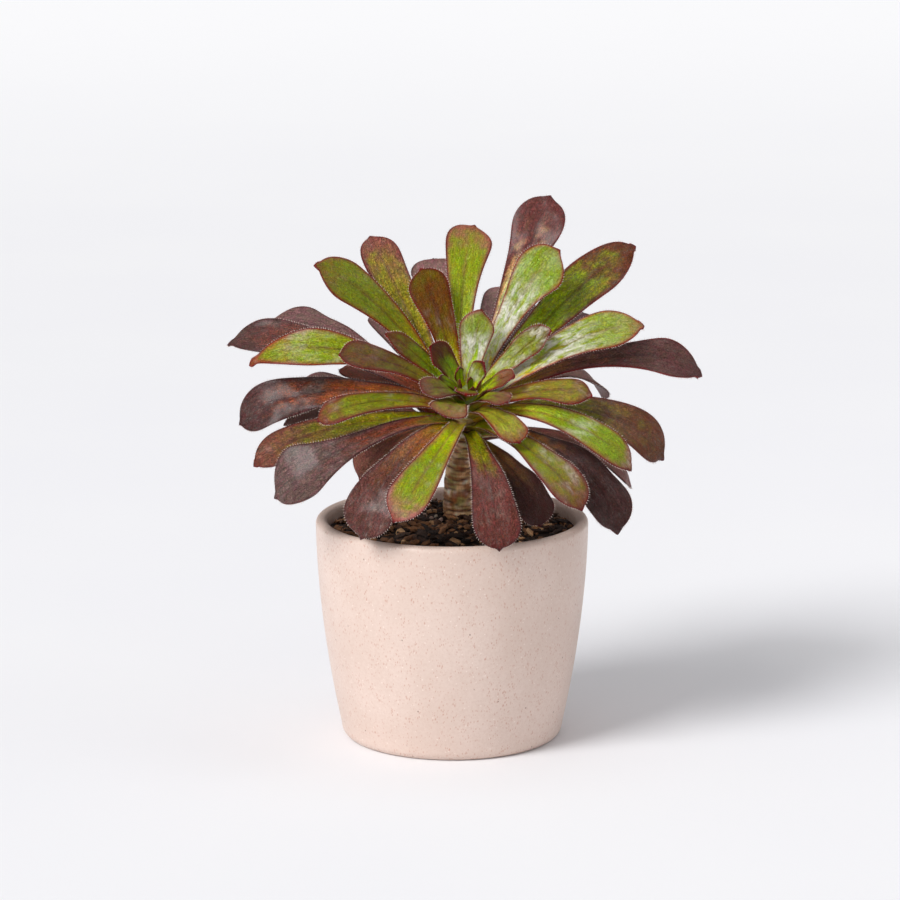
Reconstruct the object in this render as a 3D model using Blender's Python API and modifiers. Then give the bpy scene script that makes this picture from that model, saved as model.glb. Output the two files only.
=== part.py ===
"""Potted aeonium: a branchless stem with a leaning rosette, in a round stoneware pot.

Metres, +Z up. The pot stands on z = 0 with its axis on Z, and the rosette leans towards -Y.
"""

import math

import bmesh
import bpy
from mathutils import Vector

MM = 0.001
GAP = 0.3 * MM

# Pot
POT_HEIGHT = 98 * MM
POT_RADIUS = 60 * MM
POT_WALL = 5.3 * MM
POT_FLOOR = 7 * MM
POT_TAPER = 12 * MM
POT_TAPER_POWER = 1.83
FOOT_RADIUS = 45.5 * MM
FOOT_ROUND = 4 * MM
POT_STEPS = 44
INNER_ROUND = 9 * MM
INNER_WALL_HEIGHTS = [26, 40, 55, 70, 83]
OUTER_WALL_HEIGHTS = [84, 72, 60, 48, 36, 25, 15, 9]

# Soil
SOIL_EDGE = 92 * MM
SOIL_TOP = 96 * MM
POCKET_BOTTOM = 70 * MM
POCKET_CLEARANCE = 0.8 * MM
POCKET_OVERSHOOT = 10 * MM

# Stem: its foot, and the points that its centre line passes through, in mm
STEM_RADIUS = 6.5 * MM
STEM_PATH_MM = [
    (3, 10, 70.3),
    (3, 10, 84),
    (3, 10, 97),
    (4, 7, 120),
    (5, 1, 138),
    (6, -6, 149),
    (7, -13, 157.5),
]
# Share of the stem radius at each point of the path
STEM_TAPER = [1.0, 1.0, 1.1, 1.0, 1.0, 0.86, 0.4]

# Each leaf: name, distance of its base below the growing point, tip (x, y, z), arch, sway,
# width (all in mm), roll in degrees, and how pointed its end is (0 round, 1 pointed).
LEAVES = [
    ("bud_leaf_1", 2.5, (6, -30, 158), 2, 0, 11, 0, 0.5),
    ("bud_leaf_2", 2.5, (3, -17, 168), -1, 0, 6.5, 0, 1.3),
    ("bud_leaf_3", 3.5, (-6, -22, 164.5), 0.6, 0, 6, 0, 1.0),
    ("bud_leaf_4", 4.0, (14, -16, 170), 0, -1, 10, 0, 1.3),
    ("inner_leaf_1", 6.5, (-10, -12, 176), 0, 3, 15.5, 0, 1.2),
    ("inner_leaf_2", 6.0, (27, -24, 165), 1, -2, 11.5, 0, 1.1),
    ("inner_leaf_3", 7.4, (-13, -34, 160), 4, 0, 14, 0, 0.3),
    ("inner_leaf_4", 9.5, (24, -34, 155.5), 4, 0, 11.5, 0, 0.3),
    ("inner_leaf_5", 9.0, (13, -3, 191), -2, -1, 17.5, 0, 1.1),
    ("inner_leaf_6", 9.5, (-3, -46, 151.5), 4, 1, 18.5, 0, 0.4),
    ("inner_leaf_7", 10.0, (43, -10, 183), 0, -3, 15.5, 0, 0.9),
    ("inner_leaf_8", 8.6, (-29, -14, 182), 2, 1, 12.5, 0, 1.0),
    ("middle_leaf_1", 13.0, (29, -42, 139.5), 7, 0, 15.5, 0, 0.2),
    ("middle_leaf_2", 13.0, (60, -28, 157), 7, 0, 17.5, 0, 0.6),
    ("middle_leaf_3", 12.0, (-49, -26, 175), 8, 0, 17.5, 0, 0.3),
    ("middle_leaf_4", 16.8, (-58, -34, 147.5), 12, -1, 15.8, 0, 0.1),
    ("middle_leaf_5", 13.0, (-14, 14, 206), 0, 1.6, 20.5, 0, 0.5),
    ("middle_leaf_6", 14.0, (47.5, 15, 214), 0, -5.0, 25.5, 0, 0.5),
    ("middle_leaf_7", 16.5, (84, 4, 182), 13, 0, 24.5, 0, 0.9),
    ("middle_leaf_8", 17.0, (77, -36, 126), 17, 0, 19, 0, 0.4),
    ("middle_leaf_9", 18.5, (-25, -64, 110), 12, -3.5, 21, 0, 0.4),
    ("middle_leaf_10", 15.0, (-88, -9, 167), 22, 0, 19.5, 20, 0.9),
    ("middle_leaf_11", 18.5, (-60.5, 10, 208), 3, 7.8, 25.5, 0, 0.7),
    ("middle_leaf_12", 17.5, (10, 36, 222), 2, -4, 23, 0, 0.1),
    ("middle_leaf_13", 21.0, (55, -60, 114), 11, 0, 20.5, 0, 0.4),
    ("outer_leaf_1", 21.0, (44, 42, 234), 2, -0.7, 26, 0, 0.2),
    ("outer_leaf_2", 18.5, (81.5, 34, 212.5), 2, -4.9, 26, 0, 0.6),
    ("outer_leaf_3", 23.5, (92, -14, 126), 20, 0, 26.5, -10, 0.2),
    ("outer_leaf_4", 23.5, (20, -66, 98), 13, 0, 23, 0, 0.1),
    ("outer_leaf_5", 21.5, (-39, -58, 101), 17, 1, 25, 0, 0.1),
    ("outer_leaf_6", 21.5, (-86, -22, 125), 11.5, 0, 21, 10, 0.5),
    ("outer_leaf_7", 22.0, (-36.5, 36, 217), 1, 0, 22.5, 0, 0.25),
    ("outer_leaf_8", 26.5, (71, -42, 99.5), 16, -5, 28, 0, 0.5),
    ("outer_leaf_9", 19.6, (-76.5, -38, 114.5), 18, -4.5, 31, 10, 0.3),
    ("outer_leaf_10", 18.4, (-93, -5, 140), 17, 1, 23, 20, 0.0),
    ("outer_leaf_11", 23.0, (-99, 14, 172), 17, 0, 21, 15, 0.7),
    ("old_leaf_1", 20.5, (110, 12, 158), 21.2, 0, 22, -28, 0.7),
    ("old_leaf_2", 28.0, (68, 35, 142.5), 23, 0, 20, 0, 0.3),
    ("old_leaf_3", 31.0, (79, 10, 108), 14, 0, 18, 0, 0.3),
    ("old_leaf_4", 30.0, (38, -36, 101.5), 10, 0, 22, 0, 0.3),
    ("old_leaf_5", 25.8, (-40, -24, 119), 12.5, 0, 22, 0, 0.2),
    ("old_leaf_6", 29.0, (-74, 1, 138.5), 8.5, 0, 18, 0, 0.5),
    ("old_leaf_7", 34.5, (-68, 32, 151.5), 6, 0, 20, 0, 0.3),
    ("old_leaf_8", 27, (-81, 38, 177.5), 13.5, 0, 24, 10, 0.4),
    ("old_leaf_9", 30.0, (-37, 65, 175), 6, 0, 11, 0, 0.3),
    ("old_leaf_10", 24.0, (-8, 64, 202), 5, 0, 27, 0, 0.1),
    ("old_leaf_11", 28.0, (23, 82, 186), 6, 0, 15, 0, 0.3),
    ("old_leaf_12", 32.0, (38, 78, 178), 6, 0, 20, 0, 0.3),
    ("old_leaf_13", 25.5, (60, 70, 176), 9, 0, 20, 0, 0.4),
    ("old_leaf_14", 32.8, (-50, 18, 160), 8, 0, 15, 0, 0.3),
]

# How a leaf widens: the power of its taper and where along it is widest
SPOON = (1.9, 0.87)
SHAPES = {
    "middle_leaf_6": (2.8, 0.83),
    "middle_leaf_10": (2.4, 0.76),
    "middle_leaf_11": (2.2, 0.86),
    "middle_leaf_12": (2.9, 0.87),
    "outer_leaf_1": (3.4, 0.82),
    "outer_leaf_2": (1.6, 0.82),
    "outer_leaf_7": (2.2, 0.86),
    "outer_leaf_9": (4.0, 0.82),
    "old_leaf_1": (4.0, 0.87),
    "old_leaf_8": (3.4, 0.84),
}
NECK_HALF = 2.2 * MM
TIP_HALF = 0.6 * MM
LEAF_THICKNESS = 2.4 * MM
MARGIN_SHARE = 0.36
# Rows of cells crowd towards the end of a leaf, where its outline turns fastest
ROW_CROWDING = 1.4
CELLS_ALONG = 11
CELLS_ACROSS = 4


def clear_scene():
    for obj in list(bpy.data.objects):
        bpy.data.objects.remove(obj, do_unlink=True)


def new_collection(name):
    collection = bpy.data.collections.new(name)
    bpy.context.scene.collection.children.link(collection)
    return collection


def material(name, colour, roughness):
    made = bpy.data.materials.new(name)
    made.use_nodes = True
    shader = made.node_tree.nodes["Principled BSDF"]
    shader.inputs["Base Color"].default_value = (*colour, 1)
    shader.inputs["Roughness"].default_value = roughness
    return made


def add_object(name, mesh, collection, finish=None):
    obj = bpy.data.objects.new(name, mesh)
    collection.objects.link(obj)
    if finish:
        mesh.materials.append(finish)
    return obj


def turned(name, profile, collection, finish, steps):
    """A solid of revolution about Z from a profile of (radius, height) in the XZ plane."""
    mesh = bpy.data.meshes.new(name)
    points = [(radius, 0, height) for radius, height in profile]
    edges = [(i, i + 1) for i in range(len(points) - 1)]
    mesh.from_pydata(points, edges, [])
    obj = add_object(name, mesh, collection, finish)
    screw = obj.modifiers.new("turn", "SCREW")
    screw.steps = steps
    screw.render_steps = steps
    screw.use_merge_vertices = True
    screw.merge_threshold = 1e-6
    return obj


# ---------------------------------------------------------------- pot


def pot_outer_radius(height):
    share = max(0.0, 1 - height / POT_HEIGHT)
    return POT_RADIUS - POT_TAPER * share**POT_TAPER_POWER


def pot_inner_radius(height):
    return pot_outer_radius(height) - POT_WALL


def arc(centre, radius, start, end, count):
    """Points of an arc in the profile plane; angles in degrees from +radius towards +height."""
    points = []
    for i in range(count + 1):
        angle = math.radians(start + (end - start) * i / count)
        points.append((centre[0] + radius * math.cos(angle), centre[1] + radius * math.sin(angle)))
    return points


def pot_profile():
    """From the middle of the inside floor, up the inner wall, over the lip and down to the foot."""
    lip = POT_WALL / 2
    lip_centre = (pot_outer_radius(POT_HEIGHT) - lip, POT_HEIGHT - lip)
    inside_foot = pot_inner_radius(POT_FLOOR + INNER_ROUND) - INNER_ROUND
    profile = [(0, POT_FLOOR)]
    profile += arc((inside_foot, POT_FLOOR + INNER_ROUND), INNER_ROUND, -90, 0, 5)
    profile += [(pot_inner_radius(h * MM), h * MM) for h in INNER_WALL_HEIGHTS]
    profile += arc(lip_centre, lip, 180, 0, 8)
    profile += [(pot_outer_radius(h * MM), h * MM) for h in OUTER_WALL_HEIGHTS]
    foot_outer = pot_outer_radius(FOOT_ROUND + 1 * MM)
    foot_span = foot_outer - FOOT_RADIUS
    for i in range(5):
        angle = math.radians(90 * i / 4)
        radius = FOOT_RADIUS + foot_span * math.cos(angle)
        height = FOOT_ROUND + 1 * MM - FOOT_ROUND * math.sin(angle)
        profile.append((radius, height))
    profile += [(FOOT_RADIUS - 0.6 * MM, 0), (0, 0)]
    return profile


def soil_surface(radius):
    """Height of the soil, which rises gently from the wall to the stem."""
    span = pot_inner_radius(SOIL_EDGE)
    return SOIL_EDGE + (SOIL_TOP - SOIL_EDGE) * (1 - (radius / span) ** 2)


def soil_profile():
    """From the middle of the top surface, down the side and in along the underside."""
    floor = POT_FLOOR + GAP
    top_radius = pot_inner_radius(SOIL_EDGE) - GAP
    profile = [(0, soil_surface(0))]
    profile += [(top_radius * i / 5, soil_surface(top_radius * i / 5)) for i in range(1, 6)]
    profile += [(pot_inner_radius(h * MM) - GAP, h * MM) for h in reversed(INNER_WALL_HEIGHTS)]
    inside_foot = pot_inner_radius(POT_FLOOR + INNER_ROUND) - INNER_ROUND
    profile += arc((inside_foot, POT_FLOOR + INNER_ROUND), INNER_ROUND - GAP, 0, -90, 5)
    profile += [(0, floor)]
    return profile


# ---------------------------------------------------------------- stem


def stem_path():
    """A smooth run of (centre, radius) from the buried foot to the growing point."""
    points = [Vector(p) * MM for p in STEM_PATH_MM]
    run = []
    last = len(points) - 1
    for i in range(last):
        before, start, end, after = (points[max(0, min(last, i + k))] for k in (-1, 0, 1, 2))
        pieces = 4
        for j in range(pieces):
            t = j / pieces
            centre = 0.5 * (
                2 * start
                + (end - before) * t
                + (2 * before - 5 * start + 4 * end - after) * t**2
                + (3 * start - before - 3 * end + after) * t**3
            )
            taper = STEM_TAPER[i] + (STEM_TAPER[i + 1] - STEM_TAPER[i]) * t
            run.append((centre, STEM_RADIUS * taper))
    run.append((points[-1], STEM_RADIUS * STEM_TAPER[-1]))
    return run


def stem_at(depth):
    """Centre, direction and radius of the stem at a distance below the growing point."""
    run = stem_path()[::-1]
    left = depth
    for (upper, upper_radius), (lower, lower_radius) in zip(run, run[1:]):
        step = (lower - upper).length
        if left <= step:
            share = left / step
            centre = upper.lerp(lower, share)
            radius = upper_radius + (lower_radius - upper_radius) * share
            return centre, (upper - lower).normalized(), radius
        left -= step
    raise ValueError("a leaf base lies below the stem")


def add_stem(collection, finish):
    curve = bpy.data.curves.new("stem", "CURVE")
    curve.dimensions = "3D"
    curve.bevel_depth = STEM_RADIUS
    curve.bevel_resolution = 3
    curve.use_fill_caps = True
    spline = curve.splines.new("POLY")
    run = stem_path()
    spline.points.add(len(run) - 1)
    for point, (centre, radius) in zip(spline.points, run):
        point.co = (*centre, 1)
        point.radius = radius / STEM_RADIUS
    obj = bpy.data.objects.new("stem", curve)
    collection.objects.link(obj)
    curve.materials.append(finish)
    return obj


# ---------------------------------------------------------------- leaves


def smooth(x):
    x = max(0.0, min(1.0, x))
    return x * x * (3 - 2 * x)


def half_width(s, width, point, shape):
    """Half the width of a spoon-shaped leaf at s, from 0 at the base to 1 at the tip."""
    taper, widest = shape
    full = width / 2
    neck = min(NECK_HALF / full, 0.45)
    widest = widest - 0.08 * point
    rise = neck + (1.06 - neck) * (s / widest) ** taper
    shoulder = widest - 0.15
    t = max(0.0, (s - shoulder) / (1 - shoulder))
    roundness = max(3.2 - 1.3 * point, 1.5)
    cap = max(1 - t**roundness, 0.0) ** (0.52 + 0.2 * point + 0.3 * max(0.0, point - 0.8))
    if cap < 0.03:
        return TIP_HALF
    blend = (rise**-9 + cap**-9) ** (-1 / 9)
    return max(full * blend, TIP_HALF)


def leaf_frame(base, stem_up, tip, arch, sway, roll, s):
    """Centre, direction across the blade and blade normal at s along the leaf."""
    chord = tip - base
    up = (stem_up - chord * stem_up.dot(chord) / chord.length_squared).normalized()
    side = chord.cross(up).normalized()
    lift = 4 / 3 * (arch * up + sway * side)
    near = base.lerp(tip, 0.25) + lift
    far = base.lerp(tip, 0.85) + lift
    r = 1 - s
    centre = base * r**3 + near * 3 * s * r**2 + far * 3 * s**2 * r + tip * s**3
    along = (near - base) * r**2 + (far - near) * 2 * s * r + (tip - far) * s**2
    along.normalize()
    across = along.cross(up).normalized()
    normal = across.cross(along).normalized()
    angle = math.radians(roll) * smooth(s * 1.5)
    turned_across = across * math.cos(angle) + normal * math.sin(angle)
    turned_normal = normal * math.cos(angle) - across * math.sin(angle)
    return centre, turned_across, turned_normal


def leaf_base(depth, tip):
    """Where a leaf leaves the stem, on the side that faces its tip, and the stem's direction."""
    centre, stem_up, radius = stem_at(depth)
    reach = (tip - centre).normalized()
    steep = abs(reach.dot(stem_up))
    out = (reach - stem_up * reach.dot(stem_up)).normalized()
    return centre + out * (radius + GAP + (0.3 + 0.9 * steep) * MM), stem_up


def leaf_point(row, s, v):
    """A point on the blade's middle surface: s along it, v from -1 to 1 across it."""
    name, depth, tip, arch, sway, width, roll, point = row
    tip = Vector(tip) * MM
    base, stem_up = leaf_base(depth * MM, tip)
    centre, across, normal = leaf_frame(base, stem_up, tip, arch * MM, sway * MM, roll, s)
    half = half_width(s, width * MM, point, SHAPES.get(name, SPOON))
    channel = 0.3 * (1 - smooth(s / 0.75)) + 0.1
    return centre + across * half * v + normal * half * channel * (v * v - 0.3)


def add_leaf(row, collection, finish):
    name = row[0]
    mesh = bpy.data.meshes.new(name)
    grid = bmesh.new()
    bmesh.ops.create_grid(grid, x_segments=CELLS_ACROSS, y_segments=CELLS_ALONG, size=1)
    rims = []
    for vert in grid.verts:
        v = vert.co.x
        s = 1 - ((1 - vert.co.y) / 2) ** ROW_CROWDING
        vert.co = leaf_point(row, s, v)
        thick_end = min(1.0, 0.55 + 1.5 * s) * (1 - 0.45 * s**3)
        rims.append(thick_end * (1 - (1 - MARGIN_SHARE) * v * v))
    grid.to_mesh(mesh)
    grid.free()
    obj = add_object(name, mesh, collection, finish)
    group = obj.vertex_groups.new(name="thickness")
    for index, share in enumerate(rims):
        group.add([index], share, "REPLACE")
    solid = obj.modifiers.new("thickness", "SOLIDIFY")
    solid.thickness = min(LEAF_THICKNESS, 0.17 * row[5] * MM + 0.5 * MM)
    solid.offset = 0
    solid.vertex_group = "thickness"
    solid.use_even_offset = False
    return obj


def main():
    clear_scene()
    parts = new_collection("potted_aeonium")
    cutters = new_collection("cutters")
    cutters.hide_render = True

    clay = material("clay", (0.74, 0.62, 0.57), 0.5)
    earth = material("earth", (0.06, 0.045, 0.035), 0.95)
    bark = material("bark", (0.33, 0.24, 0.17), 0.8)
    leaf_colours = {
        "bud": material("bud_leaf", (0.22, 0.3, 0.06), 0.35),
        "inner": material("inner_leaf", (0.28, 0.36, 0.1), 0.35),
        "middle": material("middle_leaf", (0.3, 0.36, 0.08), 0.35),
        "outer": material("outer_leaf", (0.22, 0.12, 0.09), 0.4),
        "old": material("old_leaf", (0.12, 0.07, 0.07), 0.45),
    }

    turned("pot", pot_profile(), parts, clay, POT_STEPS)
    soil = turned("soil", soil_profile(), parts, earth, POT_STEPS)

    stem_x, stem_y, _ = STEM_PATH_MM[0]
    pocket_top = SOIL_TOP + POCKET_OVERSHOOT
    bpy.ops.mesh.primitive_cylinder_add(
        vertices=24,
        radius=STEM_RADIUS * max(STEM_TAPER) + POCKET_CLEARANCE,
        depth=pocket_top - POCKET_BOTTOM,
        location=(stem_x * MM, stem_y * MM, (pocket_top + POCKET_BOTTOM) / 2),
    )
    pocket = bpy.context.object
    pocket.name = "stem_pocket"
    for holder in list(pocket.users_collection):
        holder.objects.unlink(pocket)
    cutters.objects.link(pocket)
    pocket.hide_render = True
    pocket.display_type = "WIRE"
    cut = soil.modifiers.new("stem pocket", "BOOLEAN")
    cut.operation = "DIFFERENCE"
    cut.solver = "EXACT"
    cut.object = pocket

    add_stem(parts, bark)
    for row in LEAVES:
        kind = row[0].split("_")[0]
        add_leaf(row, parts, leaf_colours[kind])


main()
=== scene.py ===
"""Looks of the potted aeonium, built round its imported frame. Metres, +Z up, front is -Y."""

import math
import random

import bmesh
import bpy
import numpy as np
from mathutils import Matrix, Vector, noise


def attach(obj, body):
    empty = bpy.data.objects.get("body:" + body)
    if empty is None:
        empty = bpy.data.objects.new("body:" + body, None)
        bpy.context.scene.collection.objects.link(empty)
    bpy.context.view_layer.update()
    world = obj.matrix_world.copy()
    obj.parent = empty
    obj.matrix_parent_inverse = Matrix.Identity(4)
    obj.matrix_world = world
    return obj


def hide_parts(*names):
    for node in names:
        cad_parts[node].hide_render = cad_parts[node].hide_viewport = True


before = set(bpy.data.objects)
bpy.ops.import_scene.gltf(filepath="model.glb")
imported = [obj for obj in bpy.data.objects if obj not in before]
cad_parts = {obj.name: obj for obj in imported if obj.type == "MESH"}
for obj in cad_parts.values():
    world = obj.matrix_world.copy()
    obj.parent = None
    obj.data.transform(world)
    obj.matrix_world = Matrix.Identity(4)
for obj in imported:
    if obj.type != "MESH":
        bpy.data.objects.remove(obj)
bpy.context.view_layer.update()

MM = 0.001

# ---------------------------------------------------------------- the plant's plan, as in the frame

STEM_RADIUS = 6.5
STEM_PATH = [
    (3, 10, 70.3),
    (3, 10, 84),
    (3, 10, 97),
    (4, 7, 120),
    (5, 1, 138),
    (6, -6, 149),
    (7, -13, 157.5),
]
STEM_TAPER = [1.0, 1.0, 1.1, 1.0, 1.0, 0.86, 0.4]

# Each kind's leaves in the order of their numbers: depth of the base below the growing point, tip,
# arch, sway, width (mm), roll (degrees), pointedness of the end
LEAVES = {
    "bud": [
        (2.5, (6, -30, 158), 2, 0, 11, 0, 0.5),
        (2.5, (3, -17, 168), -1, 0, 6.5, 0, 1.3),
        (3.5, (-6, -22, 164), 1, 0, 7.5, 0, 1.0),
        (4.0, (14, -16, 170), 0, -1, 10, 0, 1.3),
    ],
    "inner": [
        (6.5, (-10, -12, 176), 0, 3, 15.5, 0, 1.2),
        (6.0, (27, -24, 165), 1, -2, 11.5, 0, 1.1),
        (7.0, (-13, -34, 160), 5, 0, 14.5, 0, 0.3),
        (9.5, (24, -34, 155.5), 4, 0, 11.5, 0, 0.3),
        (9.0, (13, -3, 191), -2, -1, 17.5, 0, 1.1),
        (9.5, (-3, -46, 151.5), 4, 1, 18.5, 0, 0.4),
        (10.0, (43, -10, 183), 0, -3, 15.5, 0, 0.9),
        (9.0, (-29, -14, 182), 2, 1, 13, 0, 1.0),
    ],
    "middle": [
        (13.0, (29, -42, 139.5), 7, 0, 15.5, 0, 0.2),
        (13.0, (60, -28, 157), 7, 0, 17.5, 0, 0.6),
        (12.0, (-49, -26, 175), 8, 0, 17.5, 0, 0.3),
        (16.8, (-58, -34, 147.5), 12, -1, 15.8, 0, 0.1),
        (13.0, (-14, 14, 206), 0, 1.6, 20.5, 0, 0.5),
        (14.0, (47.5, 15, 214), 0, -5.0, 25.5, 0, 0.5),
        (16.5, (84, 4, 182), 13, 0, 24.5, 0, 0.9),
        (17.0, (77, -36, 126), 17, 0, 19, 0, 0.4),
        (18.5, (-25, -64, 110), 12, -3.5, 21, 0, 0.4),
        (15.0, (-88, -9, 167), 22, 0, 19.5, 20, 0.9),
        (18.5, (-60.5, 10, 208), 3, 7.8, 25.5, 0, 0.7),
        (17.5, (10, 36, 222), 2, -4, 23, 0, 0.1),
        (21.0, (55, -60, 114), 11, 0, 20.5, 0, 0.4),
    ],
    "outer": [
        (21.0, (44, 42, 234), 2, -0.7, 26, 0, 0.2),
        (18.5, (81.5, 34, 212.5), 2, -4.9, 26, 0, 0.6),
        (23.5, (92, -14, 126), 20, 0, 26.5, -10, 0.2),
        (23.5, (20, -66, 98), 13, 0, 23, 0, 0.1),
        (21.5, (-39, -58, 101), 17, 1, 25, 0, 0.1),
        (21.5, (-86, -22, 125), 11.5, 0, 21, 10, 0.5),
        (22.0, (-36.5, 36, 217), 1, 0, 22.5, 0, 0.25),
        (26.5, (71, -42, 99.5), 16, -5, 28, 0, 0.5),
        (19.6, (-76.5, -38, 114.5), 18, -4.5, 31, 10, 0.3),
        (18.4, (-93, -5, 140), 17, 1, 23, 20, 0.0),
        (23.0, (-99, 14, 172), 17, 0, 21, 15, 0.7),
    ],
    "old": [
        (20.5, (110, 12, 158), 21.2, 0, 22, -28, 0.7),
        (28.0, (68, 35, 142.5), 23, 0, 20, 0, 0.3),
        (31.0, (79, 10, 108), 14, 0, 18, 0, 0.3),
        (30.0, (38, -36, 101.5), 10, 0, 22, 0, 0.3),
        (25.8, (-40, -24, 119), 12.5, 0, 22, 0, 0.2),
        (29.0, (-74, 1, 138.5), 8.5, 0, 18, 0, 0.5),
        (34.5, (-68, 32, 151.5), 6, 0, 20, 0, 0.3),
        (27, (-81, 38, 177.5), 13.5, 0, 24, 10, 0.4),
        (30.0, (-37, 65, 175), 6, 0, 11, 0, 0.3),
        (24.0, (-8, 64, 202), 5, 0, 27, 0, 0.1),
        (28.0, (23, 82, 186), 6, 0, 15, 0, 0.3),
        (32.0, (38, 78, 178), 6, 0, 20, 0, 0.3),
        (25.5, (60, 70, 176), 9, 0, 20, 0, 0.4),
        (32.8, (-50, 18, 160), 8, 0, 17, 0, 0.3),
    ],
}

# The smallest leaves, still folded over the growing point
HEART = [
    (1.4, (3.5, -20, 163), -0.5, 0.3, 3.6, 0, 1.2),
    (1.2, (8, -19, 164), -0.5, 0, 3.2, 0, 1.2),
    (1.4, (12, -21, 162.5), -0.5, -0.3, 3.6, 0, 1.2),
    (1.2, (9, -24.5, 161), -0.6, 0, 3.0, 0, 1.2),
    (1.6, (1.5, -24, 160.5), -0.5, 0.3, 3.6, 0, 1.2),
]

# How a leaf widens: power of its taper, where it is widest, half the width of its neck (mm)
SPOON = (1.6, 0.87, 2.8)
SHAPES = {
    "middle_leaf_12": (2.9, 0.87, 3.8),
    "outer_leaf_1": (3.4, 0.82, 3.2),
    "outer_leaf_7": (2.0, 0.86, 3.2),
    "outer_leaf_9": (4.0, 0.82, 2.3),
    "middle_leaf_6": (2.8, 0.83, 2.8),
    "old_leaf_1": (4.0, 0.87, 3.0),
    "outer_leaf_2": (1.4, 0.82, 2.8),
    "middle_leaf_10": (2.4, 0.76, 2.6),
    "old_leaf_8": (3.4, 0.84, 2.8),
    "middle_leaf_11": (2.2, 0.86, 2.8),
}

# Colours of the leaf margins
CRIMSON = (124, 22, 24)
WINE = (108, 32, 38)
PLUM = (88, 48, 50)
DUSK = (62, 44, 44)
# How most old leaves are flushed, from neck to end
AGED = (0, 0.3, 0.6, 0.9, 1)

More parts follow.
